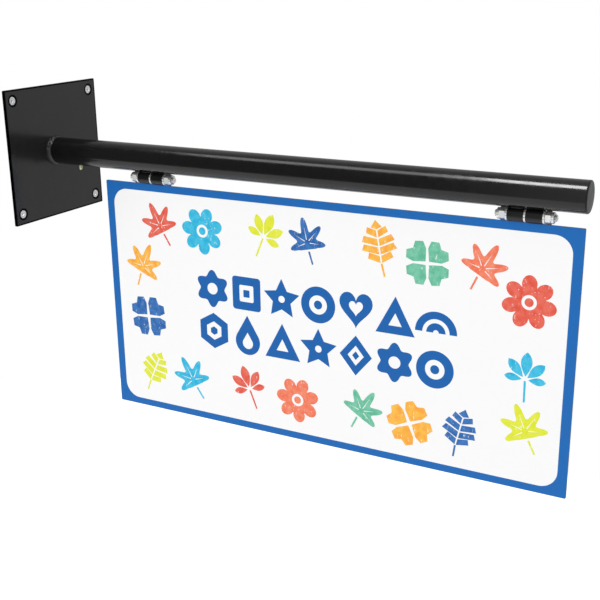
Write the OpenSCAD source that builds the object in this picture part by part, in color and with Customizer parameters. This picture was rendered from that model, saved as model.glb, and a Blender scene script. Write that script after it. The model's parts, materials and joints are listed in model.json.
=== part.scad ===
// Projecting shop sign: a welded wall arm with a flat panel that swings from two barrel hinges.
// Millimetres. X runs out from the wall along the arm, Y runs to the rear face, Z runs up.
// The origin is the centre of the wall plate's back face.

/* [Wall plate] */
// Side of the square wall plate
plate_side = 250; // [235:5:400]
// Thickness of the wall plate
plate_t = 5; // [5:0.5:12]
// Corner radius of the wall plate
plate_corner_r = 2; // [0.5:0.5:12]
// Distance between neighbouring screw holes
hole_pitch = 210; // [100:5:225]
// Diameter of the screw holes behind their countersinks
hole_d = 9; // [8.4:0.1:13]

/* [Wall screws] */
// Diameter over the screw's thread
screw_d = 8; // [6:0.5:8.5]
// Diameter of the screw's neck, which ends at the plate's back face
screw_neck_d = 7.6; // [7:0.1:8]
// Length of the screw from the plate's face to its tip
screw_l = 20; // [16:1:120]
// Chamfer at the screw's tip
screw_chamfer = 1; // [0.5:0.1:2]
// Diameter of the flat head, which sits in a right-angled countersink
screw_head_d = 15; // [14:0.2:15.6]
// Width across the flats of the socket in the head
socket_af = 5; // [4:0.5:6]
// Depth of the socket
socket_depth = 2.6; // [1.5:0.1:3]

/* [Arm] */
// Outer diameter of the arm tube
arm_d = 50.8; // [38:0.2:76]
// Wall of the arm tube
arm_wall = 3; // [2:0.5:5]
// Reach of the arm from the plate's face to the outside of its cap
arm_reach = 1022; // [990:1:1400]
// How far the weld at the foot of the arm stands out from the arm
base_weld_leg = 4; // [3:0.5:9]
// How far that weld runs out along the arm
base_weld_run = 9; // [3:0.5:12]
// Distance of the drain screw from the plate's face
drain_x = 56; // [25:1:110]
// Diameter of the drain screw's shank
drain_d = 4; // [3:0.5:6]
// Diameter of the drain screw's head
drain_head_d = 7; // [6.5:0.5:10]
// Height of the drain screw's head
drain_head_h = 8; // [2:0.5:10]

/* [End cap] */
// Thickness of the cap's head
cap_t = 3; // [3:0.5:6]
// Radius round the head's outer edge
cap_round = 2.5; // [0.5:0.1:2.9]
// Length of the plug inside the arm
plug_l = 24; // [18:1:40]
// Wall of the plug's sleeve
plug_wall = 2; // [1:0.5:4]
// Number of flexible fins round the plug
fin_count = 5; // [2:1:7]
// How far the fins stand out from the sleeve
fin_h = 2.5; // [1:0.5:4]

/* [Panel] */
// Width of the panel
panel_w = 900; // [860:10:1100]
// Height of the panel
panel_h = 450; // [200:10:700]
// Thickness of the panel's plate
panel_t = 3; // [2:0.5:6]
// Corner radius of the panel
panel_corner_r = 2; // [0.5:0.5:20]
// Distance from the wall plate's face to the panel's near end
panel_start = 118; // [60:1:150]
// Thickness of the coloured face film
film_t = 0.3; // [0.2:0.1:1]
// Width of the coloured border at the ends of the panel
border_side = 16; // [6:1:60]
// Width of the coloured border along the top and the bottom
border_edge = 13.5; // [6:0.5:60]
// Thickness of the pale field laid on the face film
field_t = 0.2; // [0.1:0.1:1]
// Corner radius of the pale field
field_corner_r = 30; // [5:1:80]

/* [Hinges] */
// Distance between the two hinges
hinge_pitch = 700; // [200:10:740]
// Distance from the panel's near end to the middle of the first hinge
hinge_inset = 108; // [60:1:130]
// Outer diameter of a barrel
barrel_d = 21.5; // [19:0.5:22]
// Wall of a barrel
barrel_wall = 3; // [1.5:0.5:3.5]
// Length of a barrel
barrel_l = 26; // [15:1:40]
// Chamfer at the ends of a barrel
barrel_chamfer = 0.6; // [0.2:0.1:1]
// Clearance from the widest hinge piece to the arm and to the panel
swing_gap = 0.3; // [0.3:0.1:2]
// Play between a panel barrel and the washer at each end of it
side_play = 0.25; // [0.1:0.05:1]
// Radius of the weld between a barrel and the arm
arm_bead_r = 4.5; // [3:0.5:7]
// Radius of the weld between a barrel and the panel's top edge
panel_bead_r = 3; // [2:0.5:5]
// How far a weld stops short of the barrel's ends
weld_inset = 2; // [1:0.5:5]

/* [Hinge hardware] */
// Diameter of the hinge stud
stud_d = 12; // [8:0.5:12.5]
// Chamfer at the ends of the stud
stud_chamfer = 1.2; // [0.5:0.1:2]
// How far the stud stands out of its nuts
stud_end = 3.5; // [2.5:0.5:8]
// Radial clearance of the stud in its bushes
running_fit = 0.05; // [0.02:0.01:0.1]
// Outer diameter of a washer
washer_d = 22; // [20:0.5:30]
// Thickness of a washer
washer_t = 3; // [1.5:0.5:4]
// Radial clearance of the stud in a washer
washer_fit = 0.5; // [0.2:0.1:1]
// Width across the flats of a lock nut
nut_af = 19; // [17.5:0.5:22]
// Height of a lock nut with its collar
nut_h = 14; // [11:0.5:16]
// Height of the nut's round collar
collar_h = 4; // [3:0.1:5]
// Wall of the nut's collar
collar_wall = 1.2; // [0.8:0.1:1.6]
// Thickness of the nylon ring in the collar
ring_t = 2.2; // [1.5:0.1:2.5]

/* [Hidden] */
$fn = 96;
// Steps in a circle that bounds a thin weld
fine_steps = 480;
hex_sides = 6;
hex_corner = 2 / sqrt(3);
chamfer_slope = tan(30);
// How far the screw's head lies under the plate's face, and the straight land round it
head_sunk = 0.5;
head_land = 0.4;
// Radial clearance of the stud in its nuts, and of the fins in the tube
thread_fit = 0.05;
fin_fit = 0.05;
// Hairline between a weld and the round metal that it lies on
weld_fit = 0.05;
// The nut's collar stands inside the flats, and its rim is rolled in over the ring
collar_inset = 0.4;
lip_h = 0.7;
lip_overlap = 0.9;
lip_round = 1;
// Shares of a fin's pitch at which its tip starts and ends
fin_tip_start = 0.6;
fin_tip_end = 0.85;
// The drain screw's slot
slot_w = 1.2;
slot_depth = 1.5;
// Edge chamfers of the small turned pieces
drain_chamfer = 0.4;
bush_chamfer = 0.3;
washer_chamfer = 0.25;
ring_chamfer = 0.2;
// How far a cutter runs past the solid it cuts
over = 1;

arm_r = arm_d / 2;
arm_bore_r = arm_r - arm_wall;
arm_end_x = plate_t + arm_reach;
tube_end_x = arm_end_x - cap_t;

stud_r = stud_d / 2;
barrel_r = barrel_d / 2;
barrel_bore_r = barrel_r - barrel_wall;
collar_r = nut_af / 2 - collar_inset;
pocket_r = collar_r - collar_wall;
ring_start = nut_h - lip_h - ring_t;
widest_r = max(barrel_r, washer_d / 2, nut_af * hex_corner / 2);
swing_r = widest_r + swing_gap;
root_gap = swing_r - barrel_r;
hinge_z = -(arm_r + swing_r);
panel_top = hinge_z - swing_r;

panel_x = plate_t + panel_start;
panel_mid = [panel_x + panel_w / 2, panel_top - panel_h / 2];
first_hinge_x = panel_x + hinge_inset;
hinge_x = [first_hinge_x, first_hinge_x + hinge_pitch];

// Places along one hinge, counted from the middle of its middle washer
arm_barrel_x = -washer_t / 2 - barrel_l;
wall_washer_x = arm_barrel_x - washer_t;
panel_barrel_x = washer_t / 2 + side_play;
end_washer_x = panel_barrel_x + barrel_l + side_play;
end_nut_x = end_washer_x + washer_t;
stud_start_x = wall_washer_x - nut_h - stud_end;
stud_l = end_nut_x + nut_h + stud_end - stud_start_x;

wall_spots = [for (y = [-1, 1], z = [-1, 1]) [y, z] * hole_pitch / 2];

powder_black = [0.16, 0.16, 0.165];
zinc = [0.78, 0.79, 0.8];
brass = [0.75, 0.68, 0.3];
cap_black = [0.12, 0.12, 0.125];
nylon = [0.9, 0.88, 0.8];
nut_ring_colour = [0.35, 0.45, 0.75];
border_blue = [0.18, 0.42, 0.74];
field_white = [0.97, 0.97, 0.97];

// A rectangle with round corners, centred on the origin
module round_rectangle(width, height, corner_r) {
    square([width - 2 * corner_r, height], center = true);
    square([width, height - 2 * corner_r], center = true);
    for (x = [-1, 1], y = [-1, 1])
        translate([x * (width / 2 - corner_r), y * (height / 2 - corner_r)])
            circle(corner_r);
}

// An outline drawn across the arm, carried along X from a start for a length
module along_arm(start, length) {
    translate([start, 0, 0])
        rotate([90, 0, 90])
            linear_extrude(length)
                children();
}

// A solid built on Z, laid along X from a start
module towards_end(start) {
    translate([start, 0, 0])
        rotate([0, 90, 0])
            children();
}

// The same, facing the wall
module towards_wall(start) {
    translate([start, 0, 0])
        rotate([0, -90, 0])
            children();
}

// Places its children on one hinge's axis, at the middle of that hinge
module on_hinge(which) {
    translate([hinge_x[which], 0, hinge_z])
        children();
}

// A round sleeve on Z with chamfered outer edges, or a solid pin where the bore is zero
module sleeve(bore_r, outer_r, length, chamfer) {
    rotate_extrude()
        polygon([
            [bore_r, 0],
            [outer_r - chamfer, 0],
            [outer_r, chamfer],
            [outer_r, length - chamfer],
            [outer_r - chamfer, length],
            [bore_r, length]
        ]);
}

// Half the outline of a disc whose upper edge is rounded
module rounded_rim(outer_r, height, edge_r) {
    square([outer_r, height - edge_r]);
    square([outer_r - edge_r, height]);
    translate([outer_r - edge_r, height - edge_r])
        intersection() {
            circle(edge_r);
            square(edge_r);
        }
}

// A hexagonal block on Z whose corners are turned down at both ends
module hexagon(across_flats, height) {
    corner_r = across_flats * hex_corner / 2;
    flat_r = across_flats / 2;
    drop = (corner_r - flat_r) * chamfer_slope;
    intersection() {
        cylinder(h = height, r = corner_r, $fn = hex_sides);
        rotate_extrude()
            polygon([
                [0, 0],
                [flat_r, 0],
                [corner_r, drop],
                [corner_r, height - drop],
                [flat_r, height],
                [0, height]
            ]);
    }
}

// The cutter of one screw hole: a cone at the plate's face that runs into a straight hole
module screw_hole() {
    straight_r = hole_d / 2;
    sink_r = screw_head_d / 2 + head_sunk + head_land;
    towards_wall(plate_t)
        rotate_extrude()
            polygon([
                [0, -over],
                [sink_r + over, -over],
                [straight_r, sink_r - straight_r],
                [straight_r, plate_t + over],
                [0, plate_t + over]
            ]);
}

module wall_plate() {
    color(powder_black)
        difference() {
            along_arm(0, plate_t)
                round_rectangle(plate_side, plate_side, plate_corner_r);
            for (spot = wall_spots)
                translate([0, spot[0], spot[1]])
                    screw_hole();
        }
}

// A countersunk socket screw: its flat head fills the cone, a plain neck crosses the plate
// and the threaded length runs on into the wall
module wall_screw() {
    head_r = screw_head_d / 2;
    neck_r = screw_neck_d / 2;
    thread_r = screw_d / 2;
    cone_start = head_sunk + head_land;
    towards_wall(plate_t)
        difference() {
            rotate_extrude()
                polygon([
                    [0, head_sunk],
                    [head_r, head_sunk],
                    [head_r, cone_start],
                    [neck_r, cone_start + head_r - neck_r],
                    [neck_r, plate_t],
                    [thread_r, plate_t],
                    [thread_r, screw_l - screw_chamfer],
                    [thread_r - screw_chamfer, screw_l],
                    [0, screw_l]
                ]);
            translate([0, 0, -over])
                cylinder(h = over + socket_depth, r = socket_af * hex_corner / 2, $fn = hex_sides);
        }
}

module wall_screws() {
    color(zinc)
        for (spot = wall_spots)
            translate([0, spot[0], spot[1]])
                wall_screw();
}

module arm_tube() {
    color(powder_black)
        difference() {
            along_arm(plate_t, tube_end_x - plate_t)
                difference() {
                    circle(arm_r);
                    circle(arm_bore_r);
                }
            translate([plate_t + drain_x, 0, -arm_r - over])
                cylinder(h = arm_wall + 2 * over, d = drain_d);
        }
}

// A fillet bead: the corner between arm and plate, filled to a bulging face. The face is an arc
// through both of the bead's toes, whose centre lies as far inside the arm as the bead is long.
module base_weld() {
    toe_lead = 2 * base_weld_leg * base_weld_run + pow(base_weld_leg, 2) - pow(base_weld_run, 2);
    centre = [-base_weld_run, -toe_lead / (2 * base_weld_run)];
    color(powder_black)
        towards_end(plate_t)
            rotate_extrude()
                translate([arm_r + weld_fit, 0])
                    intersection() {
                        square([base_weld_leg, base_weld_run]);
                        translate(centre)
                            circle(norm([base_weld_leg, 0] - centre));
                    }
}

// One fin's outline on the plug: it slopes up from the sleeve and drops back square
function fin_outline(index, foot_r, tip_r, pitch) = [
    [foot_r, index * pitch],
    [tip_r, (index + fin_tip_start) * pitch],
    [tip_r, (index + fin_tip_end) * pitch],
    [foot_r, (index + fin_tip_end) * pitch]
];

module arm_end_cap() {
    fin_tip_r = arm_bore_r - fin_fit;
    sleeve_r = fin_tip_r - fin_h;
    fin_pitch = plug_l / fin_count;
    color(cap_black)
        towards_end(tube_end_x - plug_l)
            rotate_extrude() {
                polygon(concat(
                    [[sleeve_r - plug_wall, 0]],
                    [for (i = [0:fin_count - 1]) each fin_outline(i, sleeve_r, fin_tip_r, fin_pitch)],
                    [
                        [sleeve_r, plug_l + over],
                        [sleeve_r - plug_wall, plug_l + over]
                    ]
                ));
                translate([0, plug_l])
                    rounded_rim(arm_r, cap_t, cap_round);
            }
}

module drain_screw() {
    color(brass)
        translate([plate_t + drain_x, 0, -arm_r - drain_head_h])
            difference() {
                union() {
                    sleeve(0, drain_head_d / 2, drain_head_h, drain_chamfer);
                    cylinder(h = drain_head_h + arm_wall, d = drain_d);
                }
                translate([-drain_head_d, -slot_w / 2, -slot_depth])
                    cube([2 * drain_head_d, slot_w, 2 * slot_depth]);
            }
}

module arm_barrel(which) {
    color(powder_black)
        on_hinge(which)
            towards_end(arm_barrel_x)
                sleeve(barrel_bore_r, barrel_r, barrel_l, barrel_chamfer);
}

module panel_barrel(which) {
    color(powder_black)
        on_hinge(which)
            towards_end(panel_barrel_x)
                sleeve(barrel_bore_r, barrel_r, barrel_l, barrel_chamfer);
}

// The weld that fills the gap between arm and barrel and stands out on both sides of it
module arm_barrel_weld(which) {
    $fn = fine_steps;
    color(powder_black)
        along_arm(hinge_x[which] + arm_barrel_x + weld_inset, barrel_l - 2 * weld_inset)
            difference() {
                translate([0, -arm_r - root_gap / 2])
                    circle(arm_bead_r);
                circle(arm_r + weld_fit);
                translate([0, hinge_z])
                    circle(barrel_r + weld_fit);
            }
}

// The weld that stands on the panel's top edge and reaches up round the barrel
module panel_barrel_weld(which) {
    $fn = fine_steps;
    color(powder_black)
        along_arm(hinge_x[which] + panel_barrel_x + weld_inset, barrel_l - 2 * weld_inset)
            difference() {
                intersection() {
                    translate([0, panel_top + root_gap / 2])
                        circle(panel_bead_r);
                    translate([-panel_bead_r, panel_top])
                        square(2 * panel_bead_r);
                }
                translate([0, hinge_z])
                    circle(barrel_r + weld_fit);
            }
}

module bush(which, start) {
    color(nylon)
        on_hinge(which)
            towards_end(start)
                sleeve(stud_r + running_fit, barrel_bore_r, barrel_l, bush_chamfer);
}

module hinge_stud(which) {
    color(zinc)
        on_hinge(which)
            towards_end(stud_start_x)
                sleeve(0, stud_r, stud_l, stud_chamfer);
}

module washer(start) {
    towards_end(start)
        sleeve(stud_r + washer_fit, washer_d / 2, washer_t, washer_chamfer);
}

module middle_washer(which) {
    color(zinc)
        on_hinge(which)
            washer(-washer_t / 2);
}

module nut_washers(which) {
    color(zinc)
        on_hinge(which) {
            washer(wall_washer_x);
            washer(end_washer_x);
        }
}

// A lock nut that stands on Z = 0: a hexagon with a round collar rolled in over its nylon ring
module lock_nut() {
    hex_h = nut_h - collar_h;
    color(zinc)
        difference() {
            union() {
                hexagon(nut_af, hex_h);
                rotate_extrude()
                    translate([0, hex_h - over])
                        rounded_rim(collar_r, collar_h + over, lip_round);
            }
            translate([0, 0, -over])
                cylinder(h = nut_h + 2 * over, r = stud_r + thread_fit);
            translate([0, 0, ring_start])
                cylinder(h = ring_t, r = pocket_r);
            translate([0, 0, ring_start + over])
                cylinder(h = nut_h - ring_start, r = pocket_r - lip_overlap);
        }
}

module nut_ring() {
    translate([0, 0, ring_start])
        sleeve(stud_r + thread_fit, pocket_r, ring_t, ring_chamfer);
}

module wall_side_nut(which) {
    on_hinge(which)
        towards_wall(wall_washer_x)
            lock_nut();
}

module end_side_nut(which) {
    on_hinge(which)
        towards_end(end_nut_x)
            lock_nut();
}

module nut_rings(which) {
    color(nut_ring_colour)
        on_hinge(which) {
            towards_wall(wall_washer_x)
                nut_ring();
            towards_end(end_nut_x)
                nut_ring();
        }
}

// An outline drawn on the panel's face, carried from one depth to another
module across_panel(from_y, to_y) {
    translate([panel_mid[0], to_y, panel_mid[1]])
        rotate([90, 0, 0])
            linear_extrude(to_y - from_y)
                children();
}

module panel_plate() {
    color(powder_black)
        across_panel(-panel_t / 2, panel_t / 2)
            round_rectangle(panel_w, panel_h, panel_corner_r);
}

module face_film(from_y) {
    color(border_blue)
        across_panel(from_y, from_y + film_t)
            round_rectangle(panel_w, panel_h, panel_corner_r);
}

module pale_field(from_y) {
    color(field_white)
        across_panel(from_y, from_y + field_t)
            round_rectangle(panel_w - 2 * border_side, panel_h - 2 * border_edge, field_corner_r);
}

wall_plate();
wall_screws();
arm_tube();
base_weld();
arm_end_cap();
drain_screw();
arm_barrel(0);  // inner_arm_barrel
arm_barrel_weld(0);  // inner_arm_barrel_weld
bush(0, arm_barrel_x);  // inner_arm_bush
hinge_stud(0);  // inner_hinge_stud
wall_side_nut(0);  // inner_wall_side_nut
end_side_nut(0);  // inner_end_side_nut
nut_rings(0);  // inner_nut_rings
nut_washers(0);  // inner_nut_washers
middle_washer(0);  // inner_middle_washer
panel_barrel(0);  // inner_panel_barrel
panel_barrel_weld(0);  // inner_panel_barrel_weld
bush(0, panel_barrel_x);  // inner_panel_bush
arm_barrel(1);  // outer_arm_barrel
arm_barrel_weld(1);  // outer_arm_barrel_weld
bush(1, arm_barrel_x);  // outer_arm_bush
hinge_stud(1);  // outer_hinge_stud
wall_side_nut(1);  // outer_wall_side_nut
end_side_nut(1);  // outer_end_side_nut
nut_rings(1);  // outer_nut_rings
nut_washers(1);  // outer_nut_washers
middle_washer(1);  // outer_middle_washer
panel_barrel(1);  // outer_panel_barrel
panel_barrel_weld(1);  // outer_panel_barrel_weld
bush(1, panel_barrel_x);  // outer_panel_bush
panel_plate();
face_film(-panel_t / 2 - film_t);  // front_face
pale_field(-panel_t / 2 - film_t - field_t);  // front_field
face_film(panel_t / 2);  // back_face
pale_field(panel_t / 2 + film_t);  // back_field
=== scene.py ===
"""Looks of a projecting shop sign: a wall plate, a welded round arm and a panel that swings below it.

Everything is in the part's own frame, in metres: X runs out along the arm, Y to the rear face of
the panel and Z up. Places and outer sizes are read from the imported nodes, and the sizes that only
the looks need are fields of the classes. The print's outlines are drawn in millimetres, and become
metres when they are placed on the panel.
"""

from __future__ import annotations

import json
import logging
import math
import random
from collections.abc import Callable, Sequence
from dataclasses import dataclass, replace
from enum import Enum

import bmesh
import bpy
from mathutils import Matrix, Quaternion, Vector, noise

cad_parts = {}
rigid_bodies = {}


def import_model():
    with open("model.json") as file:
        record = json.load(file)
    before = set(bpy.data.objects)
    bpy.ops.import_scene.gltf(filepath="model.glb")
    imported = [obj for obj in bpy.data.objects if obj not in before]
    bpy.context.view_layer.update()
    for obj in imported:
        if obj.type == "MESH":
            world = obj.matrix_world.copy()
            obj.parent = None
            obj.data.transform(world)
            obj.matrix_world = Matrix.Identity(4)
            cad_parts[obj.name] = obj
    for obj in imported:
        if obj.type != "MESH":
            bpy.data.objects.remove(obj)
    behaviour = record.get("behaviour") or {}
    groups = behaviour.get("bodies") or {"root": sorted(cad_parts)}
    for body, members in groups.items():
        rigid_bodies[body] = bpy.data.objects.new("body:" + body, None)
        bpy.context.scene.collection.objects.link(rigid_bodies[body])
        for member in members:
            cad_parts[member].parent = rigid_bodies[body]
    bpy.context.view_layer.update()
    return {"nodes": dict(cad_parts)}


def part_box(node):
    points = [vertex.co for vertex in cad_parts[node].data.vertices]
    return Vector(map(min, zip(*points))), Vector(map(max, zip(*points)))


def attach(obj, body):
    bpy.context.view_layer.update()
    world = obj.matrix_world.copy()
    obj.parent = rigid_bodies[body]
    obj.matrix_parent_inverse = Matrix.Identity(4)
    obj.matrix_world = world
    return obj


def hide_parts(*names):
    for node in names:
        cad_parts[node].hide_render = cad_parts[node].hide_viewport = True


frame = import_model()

LOG = logging.getLogger("shop_sign")

MM = 0.001
TURN = 2 * math.pi

# A distance beyond everything on the sign
FAR = 1.0
# Edges that turn more than this stay sharp
SHARP_DEG = 32.0
# How many steps go round a turned piece, unless it needs more or fewer
ROUND_STEPS = 96
# Between these, a cloudy noise has most of its values
NOISE_LOW, NOISE_HIGH = 0.3, 0.7
# The mix node's sockets for colours, whose names also stand on its sockets for numbers
MIX_FIRST, MIX_SECOND, MIX_RESULT = 6, 7, 2

Colour = tuple[float, float, float]
Place = tuple[float, float, float]
Point = tuple[float, float]
Outline = list[Point]
ProfileAt = Callable[[float], Sequence[Point]]
Socket = bpy.types.NodeSocket
Feed = Socket | float | tuple[float, ...]


class Body(Enum):
    """The two bodies of the frame."""

    ARM = "arm"
    PANEL = "panel"


class Face(Enum):
    """The panel's two printed faces, by the way they look along Y."""

    FRONT = -1
    BACK = 1


class Which(Enum):
    """The two hinges, by the first word of their nodes' names."""

    INNER = "inner"
    OUTER = "outer"


# Materials


class Graph:
    """A material's or a world's node tree, built with one short call for each kind of node."""

    def __init__(self, owner: bpy.types.Material | bpy.types.World) -> None:
        """Starts an empty tree.

        Args:
            owner: the material or the world that the tree is for.
        """
        owner.use_nodes = True
        self.owner = owner
        self.tree = owner.node_tree
        self.tree.nodes.clear()
        self.coordinates = self.node("ShaderNodeTexCoord", {}).outputs

    def node(self, kind: str, inputs: dict[str | int, Feed], **settings: object) -> bpy.types.Node:
        """Adds a node.

        Args:
            kind: Blender's name for the node.
            inputs: what feeds its inputs, by their names or numbers.
            **settings: plain properties to set on it.

        Returns:
            The new node.
        """
        made = self.tree.nodes.new(kind)
        for name, value in settings.items():
            setattr(made, name, value)
        for key, value in inputs.items():
            self.feed(made.inputs[key], value)
        return made

    def feed(self, socket: Socket, value: Feed) -> None:
        """Links a socket to another socket's value, or sets it to a plain one.

        Args:
            socket: the input.
            value: a socket, a number, a colour or a vector.
        """
        if isinstance(value, Socket):
            self.tree.links.new(value, socket)
            return
        wants_alpha = hasattr(socket.default_value, "__len__") and len(socket.default_value) == 4
        socket.default_value = (*value, 1.0) if wants_alpha and len(value) == 3 else value

    def result(
        self, kind: str, inputs: dict[str | int, Feed], output: str | int = 0, **settings: object
    ) -> Socket:
        """Adds a node and gives one of its outputs, the first unless another is named."""
        return self.node(kind, inputs, **settings).outputs[output]

    def stretched(self, x: float, y: float, z: float) -> Socket:
        """The object's own coordinates, scaled along each axis."""
        inputs = {"Vector": self.coordinates["Object"], "Scale": (x, y, z)}
        return self.result("ShaderNodeMapping", inputs)

    def noise(self, per_metre: float, detail: float, at: Socket | None = None) -> Socket:
        """Cloudy noise from 0 to 1.

        Args:
            per_metre: how many blotches stand in a metre.
            detail: how many finer layers are added.
            at: other coordinates than the object's own.

        Returns:
            The noise's value.
        """
        place = at or self.coordinates["Object"]
        return self.result("ShaderNodeTexNoise", {"Vector": place, "Scale": per_metre, "Detail": detail})

    def cells(self, per_metre: float) -> Socket:
        """Distance to the middle of the nearest of many small cells."""
        inputs = {"Vector": self.coordinates["Object"], "Scale": per_metre}
        return self.result("ShaderNodeTexVoronoi", inputs, "Distance")

    def span(self, value: Feed, start: float, end: float, low: Feed = 0.0, high: Feed = 1.0) -> Socket:
        """Turns the stretch from start to end of a value into one from low to high.

        Args:
            value: the value to turn.
            start: where the stretch starts.
            end: where it ends.
            low: what the start becomes.
            high: what the end becomes.

        Returns:
            The turned value, held between low and high.
        """
        inputs = {"Value": value, "From Min": start, "From Max": end, "To Min": low, "To Max": high}
        return self.result("ShaderNodeMapRange", inputs, clamp=True)

    def swing(self, value: Feed, middle: float, below: float, above: float) -> Socket:
        """A level that a noise swings from a step below its middle to a step above it."""
        return self.span(value, NOISE_LOW, NOISE_HIGH, middle - below, middle + above)

    def maths(self, operation: str, first: Feed, second: Feed) -> Socket:
        """One step of arithmetic on two values."""
        return self.result("ShaderNodeMath", {0: first, 1: second}, operation=operation)

    def vectors(self, operation: str, inputs: Sequence[Feed], output: str = "Value") -> Socket:
        """One step of arithmetic on vectors."""
        return self.result("ShaderNodeVectorMath", dict(enumerate(inputs)), output, operation=operation)

    def parts(self, vector: Socket) -> Sequence[Socket]:
        """A vector's three parts."""
        return self.node("ShaderNodeSeparateXYZ", {0: vector}).outputs[:]

    def blend(self, share: Feed, first: Feed, second: Feed, most: float = 1.0) -> Socket:
        """A colour between two others.

        Args:
            share: 0 gives the first colour and 1 the second.
            first: a colour.
            second: a colour.
            most: how much of the second colour a share of 1 gives.

        Returns:
            The blended colour.
        """
        if most < 1.0:
            share = self.maths("MULTIPLY", share, most)
        inputs = {"Factor": share, MIX_FIRST: first, MIX_SECOND: second}
        return self.result("ShaderNodeMix", inputs, MIX_RESULT, data_type="RGBA")

    def relief(self, height: Socket, depth: float, under: Socket | None = None) -> Socket:
        """Turns a height into a bumped normal.

        Args:
            height: the height, from 0 to 1.
            depth: how deep a height of 1 is, in metres.
            under: a normal that is bumped already.

        Returns:
            The normal.
        """
        below = {} if under is None else {"Normal": under}
        return self.result("ShaderNodeBump", {"Height": height, "Distance": depth, **below})

    def rims(self, radius: float) -> Socket:
        """A mask that is 1 on outer edges and falls to 0 a radius away."""
        soft = self.result("ShaderNodeBevel", {"Radius": radius}, samples=4)
        true_normal = self.result("ShaderNodeNewGeometry", {}, "Normal")
        return self.span(self.vectors("DOT_PRODUCT", (soft, true_normal)), start=0.98, end=0.8)

    def ray(self, kind: str) -> Socket:
        """A value that is 1 for rays of a kind and 0 for others."""
        return self.result("ShaderNodeLightPath", {}, kind)

    def seen(self) -> Socket:
        """A value that is 1 where the camera looks, also through glass, and 0 elsewhere."""
        return self.maths("MAXIMUM", self.ray("Is Camera Ray"), self.ray("Is Transmission Ray"))

    def surface(self, **inputs: Feed) -> bpy.types.Material:
        """Ends a material in a surface shader, whose inputs are named with _ for each space."""
        named = {name.replace("_", " "): value for name, value in inputs.items()}
        return self.end("ShaderNodeOutputMaterial", self.result("ShaderNodeBsdfPrincipled", named))

    def end(self, kind: str, shader: Socket) -> bpy.types.Material | bpy.types.World:
        """Ends the tree in an output of a kind, and gives what the tree is for."""
        self.node(kind, {"Surface": shader})
        return self.owner


def tinted(colour: Colour, factor: float) -> Colour:
    """A colour made lighter or darker."""
    return tuple(min(1.0, channel * factor) for channel in colour)


@dataclass(frozen=True)
class PaintedEdgeShade:
    """Painted shade: dark, dull bands along a square plate's outline and round its holes."""

    half_side: float
    hole_place: float
    hole_r: float
    width: float = 3.0 * MM
    fade: float = 0.8 * MM

    def mask(self, graph: Graph) -> Socket:
        """A mask that is 1 on the bands and 0 away from them, with a ragged border.

        Args:
            graph: the node tree that it is built in.

        Returns:
            The mask.
        """
        folded = graph.vectors("ABSOLUTE", [graph.stretched(0.0, 1.0, 1.0)], "Vector")
        from_hole = graph.vectors("DISTANCE", (folded, (0.0, self.hole_place, self.hole_place)))
        _, across, up = graph.parts(folded)
        to_hole = graph.maths("SUBTRACT", from_hole, self.hole_r)
        to_outline = graph.maths("SUBTRACT", self.half_side, graph.maths("MAXIMUM", across, up))
        nearest = graph.maths("MINIMUM", to_hole, to_outline)
        ragged = graph.maths("MULTIPLY", graph.noise(110, 3), self.fade)
        return graph.span(graph.maths("ADD", nearest, ragged), self.width + self.fade, self.width)


@dataclass(frozen=True)
class Finish:
    """What every finish has: a name and a main colour."""

    name: str
    colour: Colour

    def graph(self) -> Graph:
        """Starts the finish's material."""
        return Graph(bpy.data.materials.new(self.name))

    def drifting(self, graph: Graph, drift: Socket, darker: float, lighter: float) -> Socket:
        """The main colour, which drifts from a darker tint to a lighter one."""
        return graph.blend(drift, tinted(self.colour, darker), tinted(self.colour, lighter))


@dataclass(frozen=True)
class PowderCoat(Finish):
    """Baked powder: a fine orange peel, small swings in gloss, dust, and thin paler rims."""

    roughness: float = 0.3
    peel_depth: float = 0.02 * MM
    lump_depth: float = 0.0
    painted_edge_shade: PaintedEdgeShade | None = None

    def material(self) -> bpy.types.Material:
        """Builds the coat."""
        graph = self.graph()
        colour = self.drifting(graph, graph.noise(28, 3), 0.85, 1.15)
        colour = graph.blend(graph.rims(0.7 * MM), colour, tinted(self.colour, 3.2), 0.35)
        dust = graph.span(graph.cells(170), 0.035, 0.02)
        colour = graph.blend(dust, colour, (0.35, 0.34, 0.32), 0.3)
        rough = graph.swing(graph.noise(70, 4), self.roughness, 0.04, 0.05)
        normal = graph.relief(graph.noise(820, 2), self.peel_depth)
        if self.lump_depth:
            normal = graph.relief(graph.noise(420, 3), self.lump_depth, normal)
        # Painted shade: darker colour along the plate's edges and round its holes, made metallic over a
        # dark base so gloss stays dark there too
        edge_shade: Feed = 0.0
        if self.painted_edge_shade:
            edge_shade = self.painted_edge_shade.mask(graph)
            colour = graph.blend(edge_shade, colour, tinted(self.colour, 0.2))
        return graph.surface(Base_Color=colour, Metallic=edge_shade, Roughness=rough, Normal=normal)


@dataclass(frozen=True)
class ZincPlate(Finish):
    """Bright zinc on steel, with turned marks round X, blue and yellow drifts and duller rims."""

    colour: Colour = (0.9, 0.9, 0.9)
    roughness: float = 0.17
    metallic: float = 0.87

    def material(self) -> bpy.types.Material:
        """Builds the plating."""
        graph = self.graph()
        colour = graph.blend(graph.noise(160, 3), tinted(self.colour, 0.95), (0.88, 0.87, 0.83))
        colour = graph.blend(graph.span(graph.noise(60, 2), 0.45, 0.75), colour, (0.8, 0.84, 0.89))
        spots = graph.span(graph.noise(900, 3), 0.68, 0.76)
        colour = graph.blend(spots, colour, (0.36, 0.35, 0.33), 0.45)
        turned_marks = graph.noise(1, 3, graph.stretched(5200, 90, 90))
        rough = graph.swing(graph.noise(240, 4), self.roughness, 0.05, 0.09)
        rough = graph.maths("ADD", rough, graph.maths("MULTIPLY", graph.rims(0.4 * MM), 0.12))
        normal = graph.relief(turned_marks, 0.006 * MM)
        normal = graph.relief(graph.noise(700, 2), 0.012 * MM, normal)
        return graph.surface(Base_Color=colour, Metallic=self.metallic, Roughness=rough, Normal=normal)


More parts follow.
